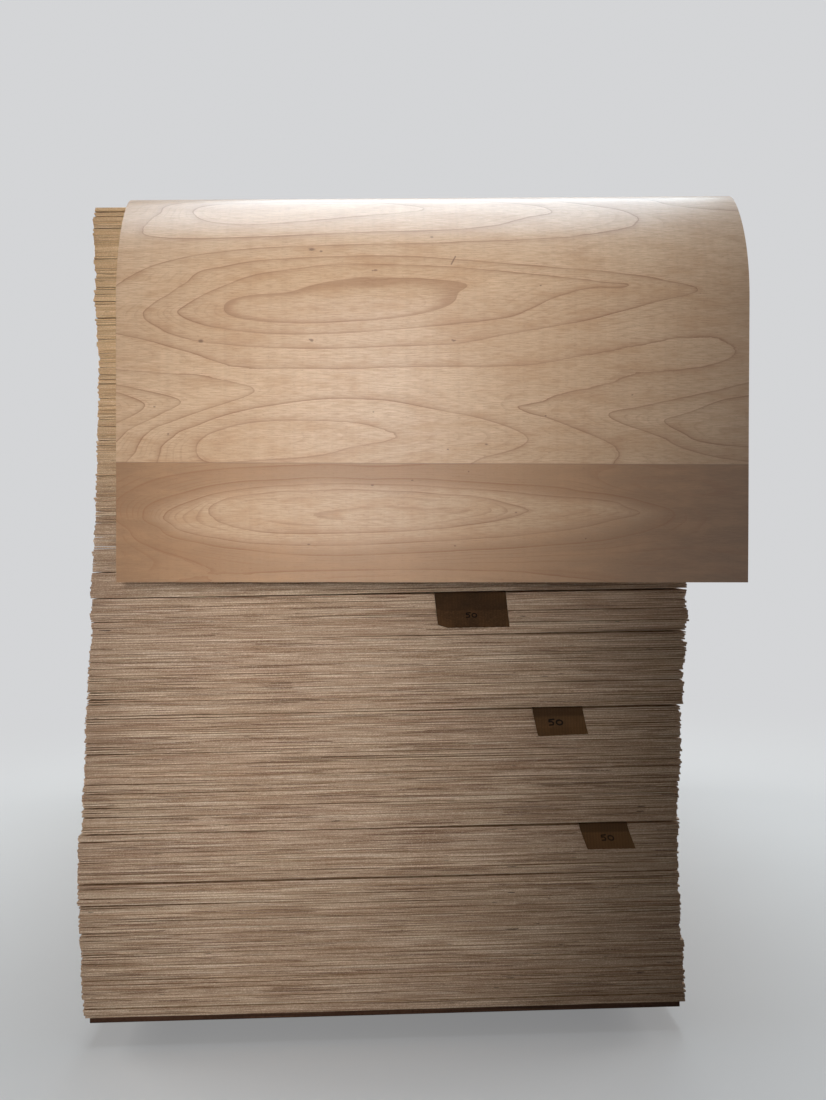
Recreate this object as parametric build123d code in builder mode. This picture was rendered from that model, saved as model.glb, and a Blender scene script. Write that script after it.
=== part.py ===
from build123d import *
import os
import random
from math import atan, degrees, radians, sin, tan

# A tall stack of thin plywood sheets on a base board and three timber bearers.
# The short end faces -Y, +Z is up, and the origin lies on the floor under the middle of the stack.

# Sheets: a standard size, counted from the bottom bundle to the top one
sheet_width = 1220
sheet_length = 2440
sheet_thickness = 4.5
sheet_gap = 0.25
bundle_counts = (57, 21, 50, 50, 50, 50, 50, 16)

# How far the stack leans to the right at the foot of each bundle, and at the very top
bundle_leans = (-12, -19, -16, -6, 13, 28, 35, 30, 32)

# How much wider than the sheet width each bundle was sawn
bundle_trims = (9, 7, -7, -7, -4, -4, -4, -4)

# How the sheets lie out of line: neat along the left side, ragged along the right
drift_step = 1.3
drift_return = 0.88
side_scatter = 1.6
end_scatter = 3.0
turn_scatter = 0.06
width_scatter = 2.2
pack_width_scatter = 4.0
pack_size = 9

# Bundles, counted from the bottom, that a wider gap at the front parts from the one below
parted_bundles = (2, 3, 4, 5)

# Board and bearers under the sheets
base_thickness = 12
base_inset = 6
bearer_height = 50
bearer_width = 90
bearer_setback = 250

# Count tags: kraft card between two bundles, folded down over the front edge of the sheets
card_thickness = 1.2
card_clearance = 0.3
tag_tongue = 60
fold_radius = 4
flap_clearance = 1.5

# For each tag: the bundle above it, how far its middle lies in from the sheets' right side,
# its width and drop, its lean to the right in degrees, how far its lower edge springs out,
# and how much is clipped off its lower left corner, across and up
tags = (
    (5, 452, 147, 71, 4.6, 8, 20, 7),
    (4, 258, 104, 56, 9.6, 7, 3, 2),
    (3, 158, 100, 49, 16, 12, 3, 2),
)

# Loose sheet on top, bent over the front edge and hanging down before it
loose_width = 1220
loose_length = 2440
loose_thickness = 2
loose_clearance = 0.3
loose_shift = 75
loose_skew = 1
crest_rise = 20
crest_setback = 46
hump_length = 320
bend_radius = 118
bend_turn = 43
slack_radius = 290
hang_drop = 783
hang_return = 2


def bundle_starts():
    """Height at the back edge and slope towards the front: of each bundle, then of the top."""
    height = bearer_height + base_thickness + sheet_gap
    slope = 0.0
    places = []
    for bundle, count in enumerate(bundle_counts, start=1):
        if bundle in parted_bundles:
            slope += parting_slope
        places.append((height, slope))
        height += count * sheet_pitch
    places.append((height - sheet_gap, slope))
    return places


def height_at(bundle, y):
    """Height of a bundle's lowest face at a place along the stack."""
    back_height, slope = starts[bundle - 1]
    return back_height + (sheet_length / 2 - y) * tan(slope)


def sheet_places(bundle):
    """Lowest face and width of each sheet of a bundle."""
    slope = starts[bundle - 1][1]
    count = bundle_counts[bundle - 1]
    lean, next_lean = bundle_leans[bundle - 1 : bundle + 1]
    trimmed_width = sheet_width + bundle_trims[bundle - 1]
    drift = 0.0
    places = []
    for number in range(count):
        if number % pack_size == 0:
            pack_width = random.uniform(-pack_width_scatter, pack_width_scatter)
        width = trimmed_width + pack_width + random.triangular(-width_scatter, width_scatter)
        drift = drift * drift_return + random.uniform(-drift_step, drift_step)
        left = lean + (next_lean - lean) * number / count - trimmed_width / 2 + drift
        left += random.triangular(-side_scatter, side_scatter)
        y = random.triangular(-end_scatter, end_scatter)
        z = height_at(bundle, y) + number * sheet_pitch
        lowest_face = Plane(
            origin=(left + width / 2, y, z), x_dir=(1, 0, 0), z_dir=(0, tan(slope), 1)
        )
        turn = random.uniform(-turn_scatter, turn_scatter)
        places.append((lowest_face.rotated((0, 0, turn)), width))
    return places


sheet_pitch = sheet_thickness + sheet_gap
parting = card_thickness + 2 * card_clearance
parting_slope = atan((parting - sheet_gap) / sheet_length)
starts = bundle_starts()
front_y = -sheet_length / 2
front_reach = end_scatter + sheet_width / 2 * sin(radians(turn_scatter))
os.makedirs("parts", exist_ok=True)
random.seed(344)

# Bearers across the stack, set back from both ends
end_bearer_y = sheet_length / 2 - bearer_setback - bearer_width / 2
bearer_places = {"bearer_front": -end_bearer_y, "bearer_middle": 0, "bearer_back": end_bearer_y}
for name, y in bearer_places.items():
    with BuildPart() as bearer:
        with BuildSketch(Plane.YZ.offset(-sheet_width / 2)):
            with Locations((y, bearer_height / 2)):
                Rectangle(bearer_width, bearer_height)
        extrude(amount=sheet_width)
    bearer.part.label = name
    export_step(bearer.part, f"parts/{name}.step")

# Board that the sheets lie on
with BuildPart() as base_board:
    with BuildSketch(Plane.XY.offset(bearer_height)):
        with Locations((bundle_leans[0], 0)):
            Rectangle(sheet_width - 2 * base_inset, sheet_length - 2 * base_inset)
    extrude(amount=base_thickness)
base_board.part.label = "base_board"
export_step(base_board.part, "parts/base_board.step")

# Bundles of loose sheets, each sheet a solid of its own
for number in range(1, len(bundle_counts) + 1):
    with BuildPart() as bundle:
        for lowest_face, width in sheet_places(number):
            with BuildSketch(lowest_face):
                Rectangle(width, sheet_length)
        extrude(amount=sheet_thickness)
    bundle.part.label = f"sheets_bundle_{number}"
    export_step(bundle.part, f"parts/sheets_bundle_{number}.step")

# Count tags: a tongue in the gap, a fold, and a flap that springs out a little
flap_ahead = front_reach + flap_clearance
for number, (above, inset, width, drop, lean, spring, clip, clip_rise) in enumerate(tags, start=1):
    place = bundle_leans[above - 1] + sheet_width / 2 - inset
    underside = height_at(above, front_y) - card_clearance - card_thickness
    lean_shift = drop * tan(radians(lean))
    with BuildPart() as tag:
        with BuildSketch(Plane.YZ.offset(place - width)):
            with BuildLine():
                tongue = Line(
                    (front_y + tag_tongue, underside),
                    (front_y - flap_ahead + fold_radius, underside),
                )
                fold = JernArc(tongue @ 1, tongue % 1, fold_radius, 90)
                TangentArc(
                    fold @ 1,
                    (front_y - flap_ahead - spring, underside - drop),
                    tangent=fold % 1,
                )
                offset(amount=card_thickness, side=Side.RIGHT)
            make_face()
        extrude(amount=2 * width + lean_shift)
        top = underside + 2 * card_thickness
        foot = underside - drop - card_thickness
        with BuildSketch(Plane.XZ.offset(-front_y)):
            with BuildLine():
                Polyline(
                    (place - width / 2, top),
                    (place + width / 2, top),
                    (place + width / 2 + lean_shift, foot),
                    (place - width / 2 + lean_shift + clip, foot),
                    (place - width / 2 + lean_shift, foot + clip_rise),
                    close=True,
                )
            make_face()
        extrude(amount=2 * tag_tongue, both=True, mode=Mode.INTERSECT)
    tag.part.label = f"count_tag_{number}"
    export_step(tag.part, f"parts/count_tag_{number}.step")

# Loose sheet: flat on the stack, over a low crest, round the bend, then slacker and down.
# Its underside is drawn from the top front edge: first number ahead of it, second above it.
top_back_height, top_slope = starts[-1]
top_front_height = top_back_height + sheet_length * tan(top_slope)
loose_x = bundle_leans[-1] + loose_shift
crest = loose_clearance + crest_rise
hump_radius = (hump_length**2 + crest_rise**2) / (4 * crest_rise)
hump_turn = 2 * degrees(atan(crest_rise / hump_length))
bend_reach = bend_radius * sin(radians(bend_turn))
hang_reach = bend_reach + slack_radius * (1 - sin(radians(bend_turn))) - crest_setback
skew_allowance = loose_width * tan(radians(loose_skew))
with BuildPart() as draped_sheet:
    profile_plane = Plane(
        origin=(loose_x, front_y, top_front_height),
        x_dir=(0, -1, tan(top_slope)),
        z_dir=(-1, 0, 0),
    )
    with BuildSketch(profile_plane):
        with BuildLine():
            rise = JernArc(
                (-crest_setback - hump_length, loose_clearance), (1, 0), hump_radius, hump_turn
            )
            level_out = JernArc(rise @ 1, rise % 1, hump_radius, -hump_turn)
            bend = JernArc(level_out @ 1, level_out % 1, bend_radius, -bend_turn)
            slack = JernArc(bend @ 1, bend % 1, slack_radius, bend_turn - 90)
            hang = TangentArc(
                slack @ 1,
                (hang_reach - hang_return, crest - hang_drop - skew_allowance),
                tangent=slack % 1,
            )
            ahead_of_crest = bend.length + slack.length + hang.length - skew_allowance
            behind_crest = loose_length - ahead_of_crest
            flat = Line((-crest_setback - behind_crest - skew_allowance, loose_clearance), rise @ 0)
            # The outer face follows the underside piece by piece, a thickness further out
            outer_start = flat @ 0 + (0, loose_thickness)
            outer_end = flat @ 1 + (0, loose_thickness)
            Line(outer_start, outer_end)
            for arc in (rise, level_out, bend, slack, hang):
                arc_start = outer_end
                outer_end = arc @ 1 + (arc % 1).rotate(Axis.Z, 90) * loose_thickness
                TangentArc(arc_start, outer_end, tangent=arc % 0)
            Line(flat @ 0, outer_start)
            Line(hang @ 1, outer_end)
        make_face()
    extrude(amount=loose_width, both=True)
    # Trimmed square but turned a little: behind the crest in plan, ahead of it from the front
    with BuildSketch(Plane.XY.offset(top_front_height - crest)):
        with Locations((loose_x, front_y + crest_setback)):
            Rectangle(3 * loose_width, 2 * loose_length, align=(Align.CENTER, Align.MIN))
            Rectangle(loose_width, 2 * behind_crest, rotation=-loose_skew, mode=Mode.SUBTRACT)
    extrude(amount=3 * crest, mode=Mode.SUBTRACT)
    with BuildSketch(Plane.XZ.offset(-front_y - crest_setback)):
        with Locations((loose_x, top_front_height + crest)):
            Rectangle(3 * loose_width, 3 * hang_drop)
            Rectangle(loose_width, 2 * hang_drop, rotation=-loose_skew, mode=Mode.SUBTRACT)
    extrude(amount=2 * (hang_reach + crest_setback), mode=Mode.SUBTRACT)
draped_sheet.part.label = "draped_sheet"
export_step(draped_sheet.part, "parts/draped_sheet.step")
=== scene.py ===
import bpy
import numpy as np
from math import atan, cos, pi, radians, sin, tan
from mathutils import Matrix, Quaternion, Vector


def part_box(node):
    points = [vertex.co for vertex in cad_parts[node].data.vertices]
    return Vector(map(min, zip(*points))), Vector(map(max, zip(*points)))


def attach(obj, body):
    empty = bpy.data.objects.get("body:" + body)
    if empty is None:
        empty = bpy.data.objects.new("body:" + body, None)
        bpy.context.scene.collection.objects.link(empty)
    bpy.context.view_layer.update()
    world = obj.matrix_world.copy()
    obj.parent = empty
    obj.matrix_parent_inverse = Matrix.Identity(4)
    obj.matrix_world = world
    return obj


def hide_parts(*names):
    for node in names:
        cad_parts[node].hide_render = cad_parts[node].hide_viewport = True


# Looks of a tall stack of plywood sheets with a loose veneered sheet hanging over its front end.
# Lengths are in metres. The short end faces -Y and +Z is up.

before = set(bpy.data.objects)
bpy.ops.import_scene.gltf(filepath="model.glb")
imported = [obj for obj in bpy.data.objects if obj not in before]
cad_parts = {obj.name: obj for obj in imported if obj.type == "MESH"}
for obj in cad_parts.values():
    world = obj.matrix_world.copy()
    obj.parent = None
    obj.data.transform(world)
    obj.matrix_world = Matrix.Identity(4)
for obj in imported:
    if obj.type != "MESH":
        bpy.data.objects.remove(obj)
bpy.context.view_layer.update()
chance = np.random.default_rng(344)


def tone(red, green, blue):
    """A colour written in 0 to 255 steps, as the shaders take it."""
    steps = np.array((red, green, blue)) / 255
    linear = np.where(steps > 0.04045, ((steps + 0.055) / 1.055) ** 2.4, steps / 12.92)
    return (*linear.tolist(), 1.0)


class Looks:
    """One material, with short calls for its nodes and the colour that it has so far."""

    def __init__(self, name):
        self.material = bpy.data.materials.new(name)
        self.material.use_nodes = True
        self.tree = self.material.node_tree
        self.surface = self.tree.nodes["Principled BSDF"]
        self.colour = tone(255, 255, 255)

    def put(self, socket, value):
        if isinstance(value, bpy.types.NodeSocket):
            self.tree.links.new(value, socket)
        else:
            socket.default_value = value

    def new(self, kind, *values):
        """A node with its first inputs filled in."""
        node = self.tree.nodes.new(kind)
        for socket, value in zip(node.inputs, values):
            self.put(socket, value)
        return node

    def attribute(self, name):
        node = self.new("ShaderNodeAttribute")
        node.attribute_name = name
        return node.outputs["Fac"]

    def place(self):
        return self.new("ShaderNodeTexCoord").outputs["Object"]

    def chart(self):
        return self.new("ShaderNodeUVMap").outputs["UV"]

    def split(self, vector):
        return tuple(self.new("ShaderNodeSeparateXYZ", vector).outputs)

    def join(self, x, y, z):
        return self.new("ShaderNodeCombineXYZ", x, y, z).outputs[0]

    def math(self, operation, *values):
        node = self.new("ShaderNodeMath", *values)
        node.operation = operation
        return node.outputs[0]

    def times(self, first, second):
        return self.math("MULTIPLY", first, second)

    def times_plus(self, value, factor, rest):
        return self.math("MULTIPLY_ADD", value, factor, rest)

    def minus(self, first, second):
        return self.math("SUBTRACT", first, second)

    def apart(self, first, second):
        return self.math("ABSOLUTE", self.minus(first, second))

    def vector(self, operation, *values):
        node = self.new("ShaderNodeVectorMath", *values)
        node.operation = operation
        return node.outputs["Value" if operation in ("DOT_PRODUCT", "LENGTH") else "Vector"]

    def noise(self, where, scale=1.0, detail=2.0, roughness=0.5, twist=0.0):
        node = self.new("ShaderNodeTexNoise", where)
        node.inputs["Scale"].default_value = scale
        node.inputs["Detail"].default_value = detail
        node.inputs["Roughness"].default_value = roughness
        node.inputs["Distortion"].default_value = twist
        return node.outputs["Fac"]

    def stretched(self, *axes, **settings):
        """Noise over three axes, each of them a value, or a value and its factor."""
        parts = [self.times(*axis) if isinstance(axis, tuple) else axis for axis in axes]
        return self.noise(self.join(*parts), **settings)

    def fade(self, value, low, high, at_low=0.0, at_high=1.0, smooth=True):
        """at_low up to low, at_high from high on, and in between a fade."""
        node = self.new("ShaderNodeMapRange", value, low, high, at_low, at_high)
        node.interpolation_type = "SMOOTHSTEP" if smooth else "LINEAR"
        return node.outputs[0]

    def ramp(self, value, *stops):
        node = self.new("ShaderNodeValToRGB", value)
        band = node.color_ramp
        while len(band.elements) < len(stops):
            band.elements.new(0.5)
        for element, (position, colour) in zip(band.elements, stops):
            element.position = position
            element.color = colour
        return node.outputs[0]

    def mix(self, amount, first, second):
        node = self.new("ShaderNodeMix", amount)
        node.data_type = "RGBA"
        self.put(node.inputs[6], first)
        self.put(node.inputs[7], second)
        return node.outputs[2]

    def cover(self, amount, tint):
        """Lay another colour over the one so far."""
        tint = tint if isinstance(tint, bpy.types.NodeSocket) else tone(*tint)
        self.colour = self.mix(amount, self.colour, tint)

    def stain(self, value, low, high, amount, tint):
        """Cover the colour so far: not where value is low, and by the full amount where high."""
        self.cover(self.fade(value, low, high, 0.0, amount), tint)

    def to_stroke(self, where, start, end):
        """Distance of a place on the chart from a straight pen stroke."""
        stretch = Vector((end[0] - start[0], end[1] - start[1], 0.0))
        apart = self.vector("SUBTRACT", where, (*start, 0.0))
        along = self.vector("DOT_PRODUCT", apart, stretch[:])
        part = self.fade(self.math("DIVIDE", along, stretch.length_squared), 0.0, 1.0, smooth=False)
        foot = self.vector("MULTIPLY", self.join(part, part, part), stretch[:])
        return self.vector("LENGTH", self.vector("SUBTRACT", apart, foot))

    def bump(self, height, strength, distance):
        node = self.new("ShaderNodeBump")
        node.inputs["Strength"].default_value = strength
        node.inputs["Distance"].default_value = distance
        self.put(node.inputs["Height"], height)
        self.put(self.surface.inputs["Normal"], node.outputs[0])

    def finish(self, roughness, specular=0.3):
        self.put(self.surface.inputs["Base Color"], self.colour)
        self.put(self.surface.inputs["Roughness"], roughness)
        self.put(self.surface.inputs["Specular IOR Level"], specular)
        return self.material


def new_mesh(name, points, faces, *materials):
    mesh = bpy.data.meshes.new(name)
    mesh.from_pydata(points, [], faces)
    for material in materials:
        mesh.materials.append(material)
    return mesh


def quads(first, second):
    """Faces between two rows of point numbers, or two sets of rows."""
    corners = (first[:-1], first[1:], second[1:], second[:-1])
    return np.stack(corners, axis=-1).reshape(-1, 4).tolist()


def grid_quads(grid):
    """Faces of a whole grid of point numbers."""
    return quads(grid[:, :-1], grid[:, 1:])


def border(grid):
    """Point numbers once round a grid and back to the first one."""
    return np.concatenate((grid[0], grid[1:, -1], grid[-1, -2::-1], grid[-2::-1, 0]))


def set_layer(mesh, name, domain, values):
    """Give a mesh a named number at each of its faces or points."""
    mesh.attributes.new(name, "FLOAT", domain).data.foreach_set("value", values)


def set_chart(mesh, places):
    """Give a mesh the flat chart that its material is drawn on, a place for each face corner."""
    mesh.uv_layers.new(name="chart").data.foreach_set("uv", places.ravel())


def set_point_chart(mesh, places):
    """Give a mesh its chart from a place for each point."""
    index = np.zeros(len(mesh.loops), int)
    mesh.loops.foreach_get("vertex_index", index)
    set_chart(mesh, np.array(places)[index])


def soften(mesh):
    """Shade a mesh smooth, apart from its sharp edges."""
    mesh.update()
    mesh.shade_smooth()
    mesh.set_sharp_from_angle(angle=radians(40))


def add_object(name, data):
    item = bpy.data.objects.new(name, data)
    bpy.context.scene.collection.objects.link(item)
    return item


def add_piece(name, mesh, node):
    """Show a mesh in place of one node of the part. Nothing moves, so all ride on the root."""
    mesh.update()
    piece = add_object(name, mesh)
    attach(piece, "root")
    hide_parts(node)


# Sheets of a bundle


def sheet_boxes(node):
    """The eight corners of every sheet of a bundle, lowest sheet first.

    Corners are indexed by back, top and right, each 0 or 1."""
    points = np.array([vertex.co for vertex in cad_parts[node].data.vertices])
    steps = np.round(points * 1e5).astype(int)
    points = points[np.unique(steps, axis=0, return_index=True)[1]]
    ends = []
    for end in (points[points[:, 1] < 0], points[points[:, 1] > 0]):
        pairs = end[np.argsort(end[:, 2])].reshape(-1, 2, 2, 3)
        order = np.argsort(pairs[..., 0], axis=2)
        ends.append(np.take_along_axis(pairs, order[..., None], axis=2))
    return np.stack(ends, axis=1)


# Into how many parts a sheet's outline is cut: at the front, at the back and along each side
front_parts = 64
back_parts = 30
side_parts = 24
right_crowding = 1.3

# Wear of a sheet's edge: its arris and the band beside it, the saw's marks, and the softer core
sheet_arris = 0.00022
board_arris = 0.0012
band_wear = 0.00003
saw_depth = 0.00022
core_depth = 0.00008

# How far single sheets fall short at their right side, at most, and how few fall short by much
right_shortfall = 0.0034
shortfall_rarity = 2.5

# Gap between two sheets: how much of its opening the lower and the upper one give, how much more
# its mouth is worn, the widest that it gets, and where named gaps fade in towards the front
lower_share = 0.55
upper_share = 0.45
mouth_wear = 0.6
widest_gap = 0.0027
gap_fade_y = -1.0
gap_fade_length = 0.2

# Chances that a gap opens a little somewhere, or at the right or left end of the front
slow_chance = 0.3
end_chance = 0.16
front_half_width = 0.6

# First seeds of what differs from sheet to sheet; the sheet's number is added to each
saw_seed, core_seed, gap_seed, slow_seed, short_seed = 100, 900, 5000, 6000, 8000


def ring_places():
    """Places round a sheet as parts of its width and length, with the inward direction of each."""
    front = [(i / front_parts, 0.0) for i in range(front_parts)]
    right = [(1.0, (i / side_parts) ** right_crowding) for i in range(side_parts)]
    back = [(1.0 - i / back_parts, 1.0) for i in range(back_parts)]
    left = [(0.0, 1.0 - i / side_parts) for i in range(side_parts)]
    places = np.array(front + right + back + left)
    inward = np.where(places == 0, 1.0, np.where(places == 1, -1.0, 0.0))
    return places, inward


ring, ring_inward = ring_places()

# Gaps that stand out at the front: sheets below the gap, from and to across the stack, opening
named_gaps = (
    (4, 0.13, 0.62, 0.0016),
    (29, -0.62, -0.18, 0.0009),
    (48, -0.62, -0.10, 0.0010),
    (57, -0.62, 0.45, 0.0012),
    (66, -0.62, 0.05, 0.0011),
    (78, -0.05, 0.62, 0.0020),
    (85, -0.62, -0.20, 0.0010),
    (95, -0.62, -0.08, 0.0010),
    (114, 0.53, 0.62, 0.0022),
    (121, 0.16, 0.62, 0.0011),
    (126, -0.62, -0.56, 0.0020),
    (128, 0.00, 0.62, 0.0022),
    (133, -0.62, -0.50, 0.0022),
    (135, -0.62, -0.46, 0.0027),
    (138, -0.62, -0.54, 0.0020),
    (139, 0.30, 0.62, 0.0011),
    (143, 0.52, 0.62, 0.0022),
    (148, 0.10, 0.62, 0.0010),
    (152, 0.20, 0.62, 0.0010),
    (160, 0.12, 0.62, 0.0018),
    (165, 0.05, 0.62, 0.0010),
    (170, -0.05, 0.62, 0.0011),
    (178, -0.20, 0.62, 0.0018),
)


def wave(x, seed, *lengths):
    """A slow wave along x between about -1 and 1, from several wavelengths."""
    turn = np.random.default_rng(seed)
    total = np.zeros_like(x)
    for length in lengths:
        total += np.sin(2 * pi * (x / (length * turn.uniform(0.8, 1.25)) + turn.uniform()))
    return total / len(lengths)


def opening(number, x, y):
    """How far the gap above a sheet opens at places round its edge."""
    total = np.zeros_like(x)
    at_front = np.clip((gap_fade_y - y) / gap_fade_length, 0, 1)
    for below, start, end, size in named_gaps:
        if below == number:
            ramp_length = min(0.25, (end - start) * 0.8)
            from_tip = x - start if start > -0.5 else end - x
            total += size * np.clip(from_tip / ramp_length, 0, 1) ** 1.2 * at_front
    turn = np.random.default_rng(gap_seed + number)
    if turn.uniform() < slow_chance:
        size = turn.uniform(0.0004, 0.0011)
        slow = wave(x + 1.7 * y, slow_seed + number, 0.9, 2.3)
        total += size * np.clip(slow * 1.6 + turn.uniform(-0.4, 0.5), 0, 1)
    for outward, reaches, sizes in (
        (x, (0.05, 0.2), (0.0006, 0.0016)),
        (-x, (0.04, 0.16), (0.0007, 0.0018)),
    ):
        if turn.uniform() < end_chance:
            reach = turn.uniform(*reaches)
            total += turn.uniform(*sizes) * np.clip((outward - front_half_width + reach) / reach, 0, 1)
    return np.minimum(total, widest_gap)


def sheet_edge(box, number, rows, plain):
    """Points round a sheet's worn edge, a list for each row, and the plan that they follow."""
    start = box[0, 0, 0]
    sides = [box[corner] - start for corner in ((0, 0, 1), (1, 0, 0), (0, 1, 0))]
    width, length, thickness = (np.linalg.norm(side) for side in sides)
    across, along, up = (side / np.linalg.norm(side) for side in sides)
    x = ring[:, 0] * width
    y = ring[:, 1] * length
    wear = saw_depth * (1 + wave(x + y, saw_seed + number, 0.013, 0.031, 0.11))
    core = core_depth * (1 + wave(x + y, core_seed + number, 0.009, 0.021))
    below_gap = above_gap = np.zeros(len(ring))
    if not plain:
        luck = np.random.default_rng(short_seed + number).uniform()
        short = right_shortfall * luck**shortfall_rarity
        wear = wear + np.where((ring[:, 0] == 1) & (ring[:, 1] > 0), short, 0.0)
        above_gap = opening(number, start[0] + x, start[1] + y) * lower_share
        if number > 1:
            below_gap = opening(number - 1, start[0] + x, start[1] + y) * upper_share
    points = []
    for part, arris in rows:
        inset = arris + wear
        lift = below_gap if part < 0.5 else -above_gap
        if part == 0.5:
            inset = inset + core
            lift = (below_gap - above_gap) / 2
        elif part in (0.0, 1.0):
            inset = inset + mouth_wear * np.abs(lift)
        to_right = x + ring_inward[:, 0] * inset
        to_back = y + ring_inward[:, 1] * inset
        height = part * thickness + lift
        points.append(
            start + to_right[:, None] * across + to_back[:, None] * along + height[:, None] * up
        )
    return points, np.stack((x, y), axis=1)


def flat_piece(name, node, first_number, materials, arris=sheet_arris, plain=False):
    """Sheets or boards as one closed mesh: worn edges in five rows, and the faces between."""
    count = len(ring)
    step = np.arange(count)
    loop = np.append(step, 0)
    rows = ((0.0, arris), (0.09, band_wear), (0.5, 0.0), (0.91, band_wear), (1.0, arris))
    heights = [part for part, inset in rows]
    edge_faces = (len(rows) - 1) * count
    points, faces, charts, seeds, slots = [], [], [], [], []
    boxes = sheet_boxes(node)
    for number, box in enumerate(boxes, start=first_number):
        base = len(points) * count
        edge_points, plan = sheet_edge(box, number, rows, plain)
        points.extend(edge_points)
        steps = np.hypot(*(plan - np.roll(plan, -1, axis=0)).T)
        travel = np.concatenate(([0.0], np.cumsum(steps)))
        for row in range(len(rows) - 1):
            low = base + row * count
            faces.extend(quads(low + loop, low + count + loop))
            chart = np.zeros((count, 4, 2))
            chart[:, (0, 3), 0] = travel[:-1, None]
            chart[:, (1, 2), 0] = travel[1:, None]
            chart[:, (0, 1), 1] = heights[row]
            chart[:, (2, 3), 1] = heights[row + 1]
            charts.append(chart.reshape(-1, 2))
        top = base + (len(rows) - 1) * count
        faces.append((top + step).tolist())
        faces.append((base + step[::-1]).tolist())
        charts.extend((plan, plan[::-1]))
        slots.extend([0] * edge_faces + [1, 1])
        seeds.extend([chance.uniform()] * (edge_faces + 2))
    mesh = new_mesh(name, np.concatenate(points).tolist(), faces, *materials)
    set_chart(mesh, np.concatenate(charts))
    set_layer(mesh, "seed", "FACE", seeds)
    mesh.polygons.foreach_set("material_index", slots)
    add_piece(name, mesh, node)
    return len(boxes)


# Where the two glue lines lie in a sheet's thickness
glue_lines = (0.25, 0.75)


def ply_edge():
    """Sawn edge of thin plywood: three plies in short streaks, core voids, knots and saw marks."""
    looks = Looks("plywood_edge")
    travel, height = looks.split(looks.chart())[:2]
    seed = looks.attribute("seed")
    x, y, z = looks.split(looks.place())
    past_low, past_high = (looks.fade(height, line - 0.01, line + 0.01) for line in glue_lines)
    ply = looks.math("ADD", past_low, past_high)
    layer = looks.times_plus(ply, 7.3, looks.times(seed, 83.0))

    def streaks(length, tall, start, detail=2.0):
        """Streaks of about this length, other ones in each ply of each sheet."""
        row = looks.times_plus(height, tall, layer)
        return looks.noise(looks.join(looks.math("DIVIDE", travel, length), row, start), detail=detail)

    # Wood of three plies, duller in patches, and painted light high up on the left: lighter and
    # yellower where the light falls from the left
    looks.colour = looks.ramp(
        streaks(0.55, 0.3, 0.0),
        (0.28, tone(160, 128, 102)),
        (0.44, tone(194, 164, 138)),
        (0.56, tone(202, 174, 148)),
        (0.72, tone(224, 198, 172)),
    )
    patch = looks.stretched((x, 3.1), (y, 3.1), (z, 8.0), detail=3.0, roughness=0.55)
    looks.stain(patch, 0.42, 0.64, 0.5, (190, 157, 135))
    # Painted light: sheets high up on the left are made lighter and yellower, where the light falls on
    # them from the left
    lit_high_left = looks.times(looks.fade(z, 0.95, 1.45), looks.fade(x, -0.5, 0.3, 0.95, 0.4))
    looks.cover(lit_high_left, (238, 198, 152))
    short = streaks(0.15, 0.25, 11.0, 3.0)
    streaked = looks.mix(looks.fade(short, 0.38, 0.62), tone(120, 88, 64), tone(240, 218, 194))
    looks.cover(0.46, streaked)

    # The middle ply is dull in places, and some plies are dark or pale for a stretch
    middle = looks.times(past_low, looks.minus(1.0, past_high))
    dull_core = looks.times(middle, looks.fade(streaks(0.7, 0.1, 5.0), 0.35, 0.65, 0.0, 0.42))
    looks.cover(dull_core, (134, 101, 75))
    looks.stain(streaks(0.28, 0.3, 29.0, 4.0), 0.57, 0.61, 0.75, (86, 54, 36))
    looks.stain(streaks(0.36, 0.3, 41.0, 4.0), 0.58, 0.62, 0.5, (238, 219, 197))

    # Shadow along the rims, fine grain and glue lines
    shadow = looks.fade(streaks(0.35, 0.0, 73.0), 0.40, 0.62, 0.25, 1.0)
    rim = looks.fade(looks.apart(height, 0.5), 0.41, 0.47, 0.0, 0.8)
    looks.cover(looks.times(rim, shadow), (62, 42, 29))
    grain = looks.stretched((travel, 330.0), (height, 2.6), (seed, 57.0), roughness=0.6)
    looks.cover(looks.fade(grain, 0.34, 0.66, 0.34, 0.0), (112, 82, 60))
    looks.stain(grain, 0.52, 0.72, 0.26, (244, 228, 208))
    for line in glue_lines:
        glue = looks.fade(looks.apart(height, line), 0.015, 0.05, 0.3, 0.0)
        looks.cover(glue, (84, 60, 44))

    # Voids in the core, knots and saw marks
    core = looks.times(looks.fade(height, 0.16, 0.34), looks.fade(height, 0.66, 0.84, 1.0, 0.0))
    void = looks.times(looks.fade(streaks(0.045, 0.9, 53.0, 1.0), 0.735, 0.765), core)
    looks.cover(looks.times(void, 0.85), (44, 30, 21))
    looks.stain(streaks(0.014, 1.2, 67.0, 1.0), 0.75, 0.80, 0.6, (70, 46, 30))
    saw = looks.stretched((travel, 420.0), (height, 1.3), (seed, 19.0), roughness=0.6)
    looks.stain(saw, 0.35, 0.75, 0.13, (86, 64, 48))
    # More painted light, lighter and yellower, high up on the left
    looks.cover(looks.times(lit_high_left, 0.35), (252, 212, 162))
    looks.bump(looks.minus(looks.times_plus(short, 0.5, saw), void), 0.35, 0.0006)
    return looks.finish(looks.fade(short, 0.3, 0.7, 0.62, 0.82), 0.22)


def ply_face():
    """Flat face of a plywood sheet, with grain along its length."""
    looks = Looks("plywood_face")
    across, along = looks.split(looks.chart())[:2]
    seed = looks.attribute("seed")
    hills = looks.stretched((across, 5.0), (along, 0.7), (seed, 40.0), roughness=0.45, twist=0.2)
    rings = looks.math("FRACT", looks.times(hills, 16.0))
    fibre = looks.stretched((across, 700.0), (along, 14.0), seed, roughness=0.6)
    looks.colour = tone(206, 176, 142)
    looks.stain(rings, 0.55, 1.0, 0.5, (160, 118, 82))
    looks.stain(fibre, 0.4, 0.8, 0.3, (132, 96, 68))
    looks.bump(looks.times_plus(rings, 0.4, fibre), 0.2, 0.0004)
    return looks.finish(looks.fade(fibre, 0.3, 0.7, 0.5, 0.66), 0.3)


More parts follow.
